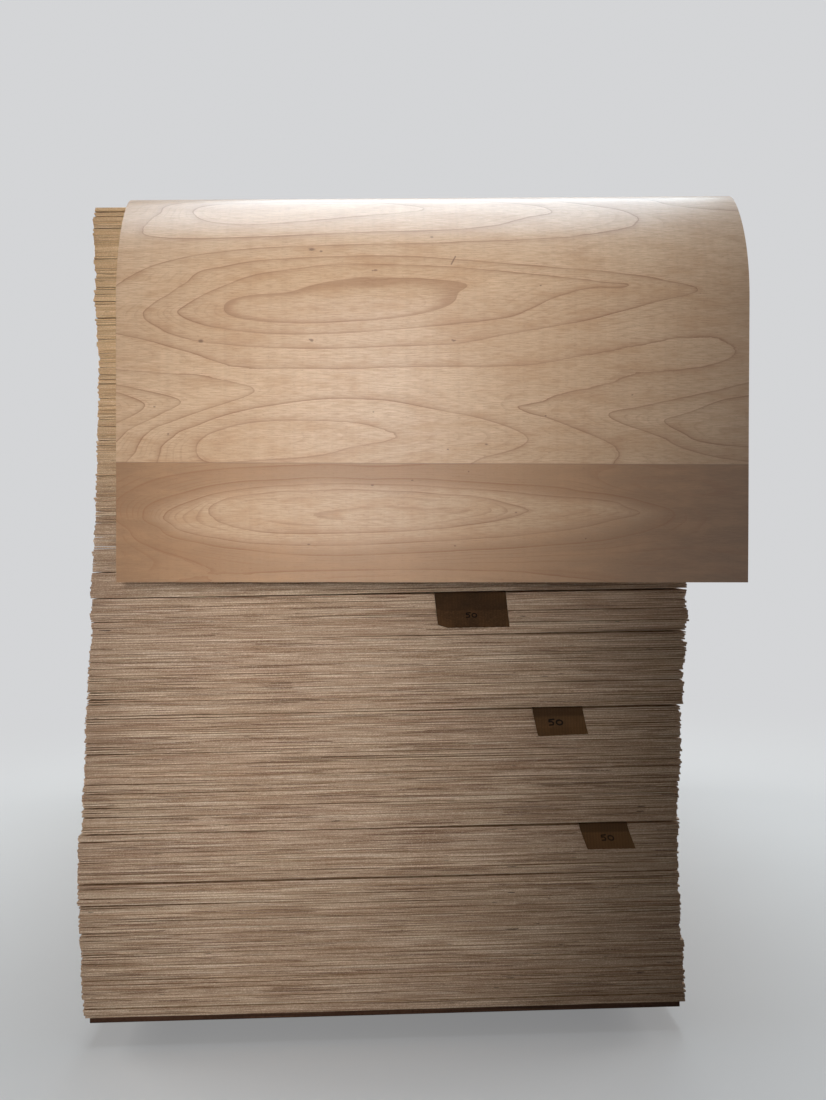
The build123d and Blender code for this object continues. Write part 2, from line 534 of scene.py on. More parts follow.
def board_looks():
    """Dark, damp-stained base board."""
    looks = Looks("base_board")
    travel, height = looks.split(looks.chart())[:2]
    streak = looks.stretched((travel, 5.0), (height, 3.0), 2.0, detail=4.0, roughness=0.6)
    grit = looks.noise(looks.place(), 260.0, 2.0, 0.6)
    looks.colour = looks.ramp(
        streak,
        (0.25, tone(38, 26, 19)),
        (0.5, tone(70, 48, 36)),
        (0.8, tone(98, 72, 55)),
    )
    looks.stain(grit, 0.5, 0.75, 0.4, (32, 22, 17))
    looks.bump(looks.math("ADD", streak, grit), 0.4, 0.0008)
    return looks.finish(looks.fade(grit, 0.3, 0.7, 0.7, 0.9), 0.2)


def timber_looks():
    """Sawn softwood bearers, weathered grey in patches."""
    looks = Looks("bearer_timber")
    x, y, z = looks.split(looks.place())
    from_heart = looks.math("WRAP", y, 0.06, -0.06)
    over_heart = looks.math("POWER", looks.math("ADD", z, 0.03), 2.0)
    square = looks.math("ADD", over_heart, looks.math("POWER", from_heart, 2.0))
    warp = looks.stretched((x, 1.5), (y, 16.0), (z, 16.0), detail=3.0)
    radius = looks.times(looks.math("POWER", square, 0.5), 210.0)
    rings = looks.math("FRACT", looks.times_plus(warp, 2.2, radius))
    fibre = looks.stretched((x, 18.0), (y, 900.0), (z, 900.0), roughness=0.6)
    looks.colour = tone(150, 122, 92)
    looks.stain(rings, 0.5, 1.0, 1.0, (108, 80, 56))
    looks.stain(fibre, 0.35, 0.75, 0.5, (76, 58, 44))
    stain = looks.noise(looks.place(), 7.0, 3.0, 0.6)
    looks.stain(stain, 0.45, 0.75, 0.6, (84, 74, 66))
    looks.bump(looks.math("ADD", rings, fibre), 0.4, 0.0008)
    return looks.finish(looks.fade(stain, 0.3, 0.7, 0.65, 0.88), 0.2)


edge_material = ply_edge()
ply_materials = (edge_material, ply_face())
first_sheet = 1
for number in range(1, 9):
    node = f"sheets_bundle_{number}"
    first_sheet += flat_piece(f"plies_{number}", node, first_sheet, ply_materials)

board_material = board_looks()
flat_piece("board", "base_board", 0, [board_material] * 2, board_arris, plain=True)

# Bearers: rounding and waviness of their faces, how much their ends are worn and over what length,
# and where along them the even stations start and how many they are
timber_corner = 0.004
timber_grid = 0.012
timber_unevenness = 0.0036
end_wear = 0.02
end_wear_length = 0.0015
station_setback = 0.03
station_count = 40


def timber_piece(place, material):
    """A sawn bearer: rounded arrises, slightly uneven faces, ends cut square."""
    name = f"timber_{place}"
    node = f"bearer_{place}"
    low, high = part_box(node)
    turn = np.random.default_rng(sum(map(ord, name)))
    section = []
    for y, z, start in (
        (high.y - timber_corner, low.z + timber_corner, -90),
        (high.y - timber_corner, high.z - timber_corner, 0),
        (low.y + timber_corner, high.z - timber_corner, 90),
        (low.y + timber_corner, low.z + timber_corner, 180),
    ):
        for turned in (0, 30, 60, 90):
            angle = radians(start + turned)
            section.append((y + timber_corner * cos(angle), z + timber_corner * sin(angle)))
    section = np.array(section)
    outline = []
    for here, there in zip(section, np.roll(section, -1, axis=0)):
        parts = max(1, round(np.hypot(*(there - here)) / timber_grid))
        outline.extend(here + (there - here) * part / parts for part in range(parts))
    outline = np.array(outline)
    flat = np.isclose(outline[:, 1], high.z) | np.isclose(outline[:, 1], low.z)
    middle = np.array(((low.y + high.y) / 2, (low.z + high.z) / 2))
    even = np.linspace(low.x + station_setback, high.x - station_setback, station_count)
    stations = (low.x, low.x + end_wear_length, *even, high.x - end_wear_length, high.x)
    points = []
    for station in stations:
        shrink = np.abs(turn.normal(0, timber_unevenness, len(outline)))
        if station in (low.x, high.x):
            shrink = shrink + end_wear
        worn = outline + (middle - outline) * shrink[:, None]
        worn[flat, 1] = outline[flat, 1]
        points.extend((station, y, z) for y, z in worn)
    size = len(outline)
    step = np.arange(size)
    loop = np.append(step, 0)
    faces = []
    for first in range(0, len(points) - size, size):
        faces.extend(quads(first + loop, first + size + loop))
    faces.append(step[::-1].tolist())
    faces.append((len(points) - size + step).tolist())
    add_piece(name, new_mesh(name, points, faces, material), node)


timber_material = timber_looks()
for place in ("front", "middle", "back"):
    timber_piece(place, timber_material)

# Count tags: card thickness, tongue in the gap, and radius of the fold
card_thickness = 0.0012
tag_tongue = 0.060
fold_radius = 0.004

# How far their edges are nibbled and drawn in, their clearance, and how hollow the flap is across
nibble_depth = 0.0004
tag_edge_inset = 0.0006
tag_clearance = 0.0003
flap_hollow = 0.0012

# For each tag: width, lean, corner clipped off across and up, how much the foot slants up,
# how far the foot springs out, where the crease runs down the flap, and where the number stands
# across and down, with its size and strength
tag_forms = (
    (0.147, 4.6, 0.020, 0.007, 0.0, 0.008, 0.42, 0.49, 0.62, 1.0, 1.0),
    (0.104, 9.6, 0.003, 0.002, 0.0026, 0.007, 0.70, 0.42, 0.48, 1.3, 1.0),
    (0.100, 16.0, 0.003, 0.002, 0.0, 0.012, 0.35, 0.51, 0.52, 1.15, 0.8),
)

# Pen strokes of the plain number 50 on a count tag, in metres from its middle
five_strokes = (
    (-0.0025, 0.0048), (-0.0100, 0.0040), (-0.0108, 0.0008), (-0.0070, 0.0012), (-0.0042, -0.0012),
    (-0.0055, -0.0042), (-0.0112, -0.0046),
)
nought_strokes = tuple(
    (0.0052 + 0.0048 * cos(turn), -0.0008 + 0.0040 * sin(turn)) for turn in np.linspace(0, 2 * pi, 11)
)


def card_looks():
    """Brown kraft card: short fibres, flutes, rubbed patches, painted shade on its fold and upper flap,
    and a pen's number.
    """
    looks = Looks("kraft_card")
    x, y, z = looks.split(looks.place())
    chart = looks.chart()
    fibre = looks.stretched((x, 240.0), (y, 600.0), (z, 900.0), detail=3.0, roughness=0.7, twist=0.6)
    rub = looks.noise(looks.place(), 24.0, 3.0, 0.6)
    flute = looks.math("SINE", looks.times(x, 1050.0))
    looks.colour = looks.mix(looks.fade(rub, 0.3, 0.7), tone(50, 34, 21), tone(76, 53, 34))
    paler = looks.fade(x, 0.18, 0.6, 0.0, 0.62, smooth=False)
    looks.cover(paler, (138, 101, 66))
    looks.stain(fibre, 0.45, 0.8, 0.5, (116, 88, 60))
    looks.stain(flute, -1.0, 1.0, 0.14, (36, 25, 17))
    # Painted shade on the fold and the upper flap, down to above the number
    shade_above_number = looks.split(chart)[1]
    looks.stain(shade_above_number, 0.007, 0.012, 0.45, (38, 26, 17))
    nearest = 9.0
    for strokes in (five_strokes, nought_strokes):
        for start, end in zip(strokes, strokes[1:]):
            nearest = looks.math("MINIMUM", nearest, looks.to_stroke(chart, start, end))
    blot = looks.times_plus(rub, 0.0006, nearest)
    ink = looks.times(looks.fade(blot, 0.0011, 0.0019, 1.0, 0.0), looks.attribute("ink"))
    looks.cover(ink, (14, 9, 6))
    looks.bump(looks.times_plus(flute, 0.25, fibre), 0.3, 0.0004)
    return looks.finish(looks.fade(rub, 0.3, 0.7, 0.78, 0.92), 0.15)


def tag_piece(number, form, material):
    """Card tag: a tongue, a fold, and a flap with a crease, a curl and worn corners."""
    width, lean, clip, clip_rise, slant, spring, crease, number_x, number_down, size, ink = form
    low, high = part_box(f"count_tag_{number}")
    columns, tongue_rows, fold_rows, flap_rows = 42, 6, 7, 34
    flap_start = tongue_rows + fold_rows
    rows = flap_start + flap_rows
    fold_z = high.z - fold_radius - card_thickness
    face_y = low.y + spring
    fold_y = face_y + fold_radius + card_thickness
    drop = high.z - fold_radius - low.z
    lean_shift = (high.z - low.z - card_thickness) * tan(radians(lean))

    def tag_point(row, u, side):
        """A point of the tag and its place down the flap: side is how far it lies inside."""
        if row < tongue_rows:
            return 0.0, high.y - tag_tongue * row / tongue_rows, high.z - side
        if row < flap_start:
            angle = pi / 2 * (row - tongue_rows) / fold_rows
            reach = fold_radius + card_thickness - side
            return 0.0, fold_y - reach * sin(angle), fold_z + reach * cos(angle)
        down = (row - flap_start) / flap_rows
        nibble = abs(nibble_depth * sin(u * 37 + number) + 0.75 * nibble_depth * sin(u * 91))
        foot = low.z + slant * u + max(0.0, clip_rise * (1 - u * width / clip))
        foot += nibble + tag_clearance
        kink = max(0.0, down - crease) / (1 - crease)
        out = spring * (0.35 * down * down + 0.65 * kink)
        hollow = flap_hollow * (1 - (2 * u - 1) ** 2) * down
        wobble = 0.0002 * sin(u * 19 + number) * down
        y = face_y - out + hollow + wobble + side + tag_clearance
        return down, y, fold_z - down * (fold_z - foot)

    points, charts = [], []
    for side in (0.0, card_thickness):
        for row in range(rows + 1):
            for column in range(columns + 1):
                u = column / columns
                down, y, z = tag_point(row, u, side)
                across = min(max(u * width, tag_edge_inset), width - tag_edge_inset)
                points.append((low.x + across + lean_shift * down, y, z))
                above = (number_down - down) * drop / size if row >= flap_start else 0.2
                charts.append(((u - number_x) * width / size, above))
    outer = np.arange(len(points) // 2).reshape(rows + 1, columns + 1)
    inner = outer + outer.size
    faces = grid_quads(outer) + grid_quads(inner.T) + quads(border(outer), border(inner))
    name = f"tag_{number}"
    mesh = new_mesh(name, points, faces, material)
    set_point_chart(mesh, charts)
    set_layer(mesh, "ink", "POINT", [ink] * outer.size + [0.0] * inner.size)
    soften(mesh)
    add_piece(name, mesh, f"count_tag_{number}")


card_material = card_looks()
for number, form in enumerate(tag_forms, start=1):
    tag_piece(number, form, card_material)

# Loose sheet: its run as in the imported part, with the radii of its outer face
loose_width = 1.220
loose_length = 2.440
loose_thickness = 0.002
front_edge_y = -1.220
crest_setback = 0.046
crest_rise = 0.020
hump_length = 0.320
bend_radius = 0.120
bend_turn = radians(43)
slack_radius = 0.292
hang_drop = 0.783
hang_return = 0.002

# How it lies: its middle, its turn, which is full at this distance from the crest, and the slope
# of the stack's top, from four parted bundles
loose_middle_x = 0.107
skew = radians(1)
turned_fully = 0.5
top_slope = 4 * atan(1.55 / 2440)

# Parts of its width and thickness that its mesh takes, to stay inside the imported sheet
width_inside = 0.9998
thickness_inside = 0.98

# Its slow swell: where it starts, over what length it grows, and its depth
swell_start = 0.25
swell_growth = 0.3
swell_depth = 0.0009

# Two leaves of veneer meet this far ahead of the crest
splice_run = 0.640

crest_y = front_edge_y + crest_setback
crest_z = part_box("draped_sheet")[1].z
bend_length = bend_radius * bend_turn
slack_length = slack_radius * (pi / 2 - bend_turn)
slack_middle_y = crest_y + (slack_radius - bend_radius) * sin(bend_turn)
slack_middle_z = crest_z - bend_radius - (slack_radius - bend_radius) * cos(bend_turn)
hang_y = slack_middle_y - slack_radius
hang_z = slack_middle_z
hang_length = hang_z - (crest_z - loose_thickness - hang_drop)
hump_turn = 2 * atan(crest_rise / hump_length)
hump_radius = (hump_length**2 + crest_rise**2) / (4 * crest_rise)
hump_run = 2 * hump_radius * hump_turn
hang_run = bend_length + slack_length
ahead_length = hang_run + hang_length
behind_length = loose_length - ahead_length

# Mesh of the loose sheet: columns across it, how many of them one face of its underside spans,
# and rows over its flat part, its hump and its hanging part
loose_columns = 270
under_span = 18
flat_rows, hump_rows, ahead_rows = 36, 14, 232


def on_arc(y, z, radius, angle):
    """Place and outward direction on an arc round a middle, an angle ahead of its top."""
    return y - radius * sin(angle), z + radius * cos(angle), (-sin(angle), cos(angle))


def profile(run):
    """Place and outward direction, in y and z, of the outer face: run is ahead of the crest."""
    if run >= hang_run:
        down = run - hang_run
        return hang_y + hang_return * (down / hang_length) ** 2, hang_z - down, (-1.0, 0.0)
    if run >= bend_length:
        angle = bend_turn + (run - bend_length) / slack_radius
        return on_arc(slack_middle_y, slack_middle_z, slack_radius, angle)
    if run >= 0:
        return on_arc(crest_y, crest_z - bend_radius, bend_radius, run / bend_radius)
    if run > -hump_run / 2:
        y, z, normal = on_arc(crest_y, crest_z - hump_radius, hump_radius, run / hump_radius)
    elif run > -hump_run:
        foot_y = crest_y + hump_length
        foot_z = crest_z - crest_rise + hump_radius
        y, z, normal = on_arc(foot_y, foot_z, -hump_radius, -(run + hump_run) / hump_radius)
    else:
        y, z, normal = crest_y + hump_length - run - hump_run, crest_z - crest_rise, (0.0, 1.0)
    return y, z - (y - crest_y) * tan(top_slope), normal


def swell(run):
    """How far the hanging part's slow waves sink its outer face, from none at the bend on."""
    grown = min(1.0, max(0.0, (run - swell_start) / swell_growth))
    return swell_depth * grown * (1 + sin(run * 9.0 + 0.6) * cos(run * 3.7 + 0.4))


def sheet_place(across, run, depth=0.0):
    """A point of the loose sheet, a depth below its outer face."""
    here = run + across * tan(skew) * min(1.0, abs(run) / turned_fully)
    y, z, (normal_y, normal_z) = profile(here)
    sway = z - crest_z if here > 0 else y - crest_y
    x = loose_middle_x + across / cos(skew) * width_inside + sway * tan(skew)
    sink = swell(run) + depth
    return x, y - normal_y * sink, z - normal_z * sink


# Growth rings seen on the loose sheet, each with the depth at which the knife met it.
# Places are in steps of 0.75 mm, from the sheet's left side and from 50 mm ahead of the crest.
ring_step = 0.00075
ring_start = 0.050
upper_rings = (
    (3, (180, 85), (195, 62), (240, 48), (330, 42), (450, 38), (560, 38), (660, 42), (730, 55),
     (785, 75), (740, 90), (600, 110), (450, 130), (330, 140), (240, 132), (200, 115)),
    (2, (130, 40), (98, 85), (70, 130), (58, 170), (110, 188), (250, 190), (430, 182), (600, 172),
     (850, 163), (960, 150), (1060, 115), (1125, 97), (1090, 65), (1000, 45), (930, 35)),
    (1, (0, 330), (60, 290), (130, 262), (220, 240), (370, 222), (540, 214), (700, 210), (900, 202),
     (1050, 196), (1150, 190), (1230, 178), (1310, 160), (1350, 130), (1330, 100), (1290, 80),
     (1220, 60), (1130, 35)),
    (0, (1400, 35), (1440, 60), (1500, 78), (1626, 95)),
    (0.6, (1310, 225), (1400, 215), (1500, 225), (1600, 225)),
    (0, (68, 410), (85, 385), (130, 355), (180, 320), (215, 290), (270, 278), (350, 262),
     (450, 254), (560, 249), (700, 247), (870, 258), (1000, 270), (1150, 283), (1300, 298),
     (1400, 314), (1490, 334), (1400, 368), (1300, 395), (1200, 420), (1100, 438), (1000, 455),
     (870, 480), (740, 486), (600, 492), (480, 494), (350, 490), (200, 475), (130, 455),
     (105, 440)),
    (-1, (155, 400), (175, 382), (240, 345), (310, 315), (370, 297), (450, 285), (560, 271),
     (700, 272), (860, 279), (980, 290), (1100, 302), (1200, 313), (1312, 325), (1240, 335),
     (1180, 344), (1120, 362), (1060, 390), (1010, 410), (950, 420), (850, 431), (720, 443),
     (600, 452), (480, 457), (350, 453), (280, 445), (200, 427)),
    (-2, (275, 388), (290, 370), (340, 357), (430, 350), (500, 330), (560, 318), (625, 309),
     (640, 325), (655, 310), (760, 311), (840, 317), (886, 325), (868, 350), (830, 388),
     (780, 402), (700, 415), (600, 423), (500, 428), (400, 426), (320, 417)),
    (-2.45, (330, 378), (450, 366), (560, 352), (650, 350), (710, 348), (765, 362), (778, 378),
     (745, 395), (650, 408)),
    (-2.8, (520, 390)),
    (1, (0, 458), (60, 470), (100, 480), (170, 500), (230, 520), (350, 545), (480, 545),
     (600, 545), (700, 541), (850, 538), (950, 538), (1060, 533), (1150, 518), (1300, 490),
     (1380, 475), (1440, 463), (1510, 462), (1565, 472), (1590, 492), (1570, 515), (1500, 535),
     (1400, 545), (1320, 552), (1280, 572), (1200, 592), (1130, 608), (1080, 628), (1025, 643),
     (1060, 658), (1100, 668), (1160, 690), (1230, 718), (1270, 738), (1288, 762), (1268, 790)),
    (1, (0, 548), (60, 552), (130, 558), (200, 560), (260, 572), (310, 583), (352, 605),
     (320, 622), (280, 635), (210, 658), (150, 680), (100, 698), (70, 722), (50, 760), (25, 790)),
    (0, (0, 588), (60, 600), (120, 613), (164, 635), (120, 660), (60, 690), (15, 722)),
    (-1, (0, 607), (40, 620), (74, 640), (60, 658), (35, 672), (0, 688)),
    (2, (105, 790), (115, 750), (145, 722), (200, 695), (280, 665), (350, 648), (430, 635),
     (520, 624), (600, 622), (700, 628), (780, 642), (850, 655), (920, 668), (1000, 692),
     (1050, 720), (1030, 742), (990, 757), (940, 770), (898, 790)),
    (3, (205, 760), (210, 735), (240, 712), (300, 693), (400, 680), (500, 679), (620, 685),
     (670, 697), (712, 716), (670, 732), (600, 745), (500, 768), (400, 776), (300, 783),
     (225, 782)),
    (3.5, (420, 728)),
    (0, (1626, 574), (1540, 595), (1470, 610), (1400, 625), (1330, 640), (1262, 655),
     (1290, 680), (1350, 700), (1410, 722), (1470, 750), (1540, 768), (1626, 780)),
    (-1, (1626, 607), (1560, 618), (1500, 640), (1450, 658), (1405, 672), (1430, 695),
     (1480, 722), (1540, 735), (1626, 742)),
    (-1.6, (1626, 680)),
    (3.5, (450, 90)),
)
lower_rings = (
    (2, (0, 885), (30, 860), (95, 830), (180, 812), (300, 799), (420, 793), (560, 789),
     (800, 786)),
    (1.6, (1150, 792), (1400, 800), (1626, 820), (1626, 900), (1626, 1000)),
    (1, (1432, 920), (1400, 895), (1300, 870), (1160, 850), (1000, 838), (860, 830), (640, 826),
     (420, 828), (300, 835), (180, 860), (90, 890), (68, 920), (110, 955), (200, 990),
     (330, 1010), (450, 1022), (700, 1020), (900, 1010), (1100, 998), (1300, 975), (1400, 945)),
    (0.4, (1383, 913), (1320, 890), (1180, 868), (1000, 850), (1250, 958)),
    (0, (1342, 908), (1290, 886), (1180, 872), (1000, 857), (860, 848), (640, 839), (420, 844),
     (300, 856), (200, 880), (130, 910), (118, 930), (150, 955), (220, 975), (330, 992),
     (450, 998), (640, 996), (850, 985), (1000, 975), (1150, 958), (1280, 930)),
    (-1, (1052, 905), (1000, 888), (900, 868), (760, 858), (600, 852), (420, 858), (300, 872),
     (250, 890), (235, 910), (245, 925), (280, 945), (380, 965), (500, 968), (700, 963),
     (900, 945), (1010, 925)),
    (-1.5, (300, 910), (420, 890), (600, 885), (800, 890), (930, 905), (800, 935), (600, 942)),
    (-1.7, (600, 912)),
    (2, (150, 1092), (250, 1080), (350, 1070), (480, 1064), (600, 1062), (760, 1060),
     (900, 1062), (1050, 1068), (1150, 1078), (1260, 1092)),
    (2, (0, 935), (40, 975), (110, 1012), (220, 1050)),
)

# How much closer growth rings run together up and down than across, and the stiffness of the
# surface through them
ring_squeeze = (0.25, 1.0)
ring_softness = 1e-6


def ring_depths(rings, across, run):
    """Smoothest surface through the named rings, at the asked places."""
    places = [(x, y) for depth, *points in rings for x, y in points]
    places = np.array(places) * ring_step + (-loose_width / 2, ring_start)
    depths = np.repeat([ring[0] for ring in rings], [len(ring) - 1 for ring in rings])

    def bend_energy(from_places, to_places):
        gaps = (from_places[:, None, :] - to_places[None, :, :]) * ring_squeeze
        square = (gaps**2).sum(axis=2)
        return square * np.log(square + 1e-12) * 0.5

    size = len(places)
    plane = np.column_stack((np.ones(size), places))
    system = np.zeros((size + 3, size + 3))
    system[:size, :size] = bend_energy(places, places) + np.eye(size) * ring_softness
    system[:size, size:] = plane
    system[size:, :size] = plane.T
    answer = np.linalg.solve(system, np.concatenate((depths, np.zeros(3))))
    wanted = np.column_stack((across, run))
    result = []
    for start in range(0, len(wanted), 4000):
        part = wanted[start : start + 4000]
        flat = np.column_stack((np.ones(len(part)), part))
        result.append(bend_energy(part, places) @ answer[:size] + flat @ answer[size:])
    return np.concatenate(result)


# The same figure further back, where it only shows from above: middle and size of each rise
back_rises = (
    (-0.15, -0.20, 0.40, 0.07, -2.6),
    (0.20, -0.42, 0.45, 0.08, 3.1),
    (-0.22, -0.62, 0.42, 0.08, -3.0),
    (0.10, -0.86, 0.50, 0.09, 3.4),
    (-0.18, -1.10, 0.44, 0.08, -2.8),
    (0.16, -1.34, 0.48, 0.08, 3.0),
)

# The traced figure takes over from here, close behind the crest, over this length
figure_start = -0.06
figure_blend = 0.09


def growth_rings(across, run):
    """Depth at which the knife met each place of the upper and of the lower leaf."""
    behind = np.zeros(len(run))
    for middle, place, half, tall, high in back_rises:
        behind += high * np.exp(-(((across - middle) / half) ** 2) - ((run - place) / tall) ** 2)
    front = run > figure_start
    blend = np.clip((run[front] - figure_start) / figure_blend, 0, 1)
    blend = blend * blend * (3 - 2 * blend)
    upper = behind.copy()
    figure = ring_depths(upper_rings, across[front], np.maximum(run[front], 0.02))
    upper[front] = behind[front] * (1 - blend) + blend * figure
    lower = np.full(len(run), 1.5)
    below = run > splice_run - 0.02
    lower[below] = ring_depths(lower_rings, across[below], run[below])
    return upper, lower


def draped_mesh(*materials):
    """The loose sheet, closed: a fine outer face, a coarse underside and the rim between."""
    runs = np.concatenate(
        (
            np.linspace(-behind_length, -hump_run, flat_rows, endpoint=False),
            np.linspace(-hump_run, 0.0, hump_rows, endpoint=False),
            np.linspace(0.0, ahead_length, ahead_rows),
        )
    )
    last_row = len(runs) - 1
    acrosses = np.linspace(-loose_width / 2, loose_width / 2, loose_columns + 1)
    grid_across, grid_run = (part.ravel() for part in np.meshgrid(acrosses, runs))
    chart = list(zip(grid_across, grid_run))
    points = [sheet_place(across, run) for across, run in chart]
    outer = np.arange(len(points)).reshape(len(runs), len(acrosses))
    under = np.full_like(outer, -1)
    for row, run in enumerate(runs):
        for column in range(0, len(acrosses), 1 if row in (0, last_row) else under_span):
            under[row, column] = len(points)
            points.append(sheet_place(acrosses[column], run, loose_thickness * thickness_inside))
            chart.append((acrosses[column], run))
    outer_faces = grid_quads(outer)
    under_faces = []
    for row in range(last_row):
        for low in range(0, loose_columns, under_span):
            strip = under[row : row + 2, low : low + under_span + 1]
            near, far = (line[line >= 0].tolist() for line in strip)
            under_faces.append(near + far[::-1])
    rim = quads(border(outer), border(under))
    mesh = new_mesh("loose_sheet", points, outer_faces + under_faces + rim, *materials)
    for leaf, depths in zip(("upper", "lower"), growth_rings(grid_across, grid_run)):
        slopes = np.hypot(*np.gradient(depths.reshape(outer.shape), runs, acrosses)).ravel()
        for kind, values in (("rings", depths), ("slope", slopes)):
            unseen = np.zeros(len(points) - outer.size)
            set_layer(mesh, f"{leaf}_{kind}", "POINT", np.concatenate((values, unseen)))
    set_point_chart(mesh, chart)
    slots = [0] * len(outer_faces) + [1] * len(under_faces) + [2] * len(rim)
    mesh.polygons.foreach_set("material_index", slots)
    soften(mesh)
    return mesh


# Pin knots and gum marks on the loose sheet, in the same steps as the rings: place and half size
pin_marks = (
    (806, 189, 5, 2), (495, 228, 9, 5), (520, 234, 5, 3), (653, 290, 3, 2), (493, 470, 3, 2),
    (857, 470, 3, 2), (655, 655, 3, 2), (132, 714, 3, 3), (97, 645, 3, 2), (946, 737, 4, 2),
    (846, 750, 3, 2), (900, 807, 3, 2), (755, 830, 3, 2), (653, 843, 5, 2), (1022, 912, 3, 2),
    (490, 995, 4, 2), (1203, 979, 3, 2), (865, 998, 3, 2), (1098, 663, 3, 2), (1323, 608, 3, 2),
    (1085, 330, 4, 2), (215, 475, 7, 5), (660, 289, 5, 3), (497, 472, 5, 4), (862, 472, 5, 3),
)
gum_dash = ((866, 250), (855, 272))


def knots_and_gum(looks, chart):
    """Where the dark pin knots and the gum dash lie, from 0 to 0.7."""
    nearest = 9.0
    fray = looks.times_plus(looks.noise(chart, 260.0, 2.0, 0.6), 0.006, -0.003)
    ragged = looks.vector("ADD", chart, looks.join(fray, looks.times(fray, 0.4), 0.0))
    for x, y, half_length, half_height in pin_marks:
        middle = (x * ring_step - loose_width / 2, ring_start + y * ring_step, 0.0)
        apart = looks.vector("SUBTRACT", ragged, middle)
        half_size = (half_length * ring_step, half_height * ring_step, 1.0)
        rounds = looks.vector("LENGTH", looks.vector("DIVIDE", apart, half_size))
        nearest = looks.math("MINIMUM", nearest, rounds)
    start, end = ((x * ring_step - loose_width / 2, ring_start + y * ring_step) for x, y in gum_dash)
    dash = looks.math("DIVIDE", looks.to_stroke(chart, start, end), 0.0016)
    return looks.fade(looks.math("MINIMUM", nearest, dash), 0.4, 1.3, 0.7, 0.0)


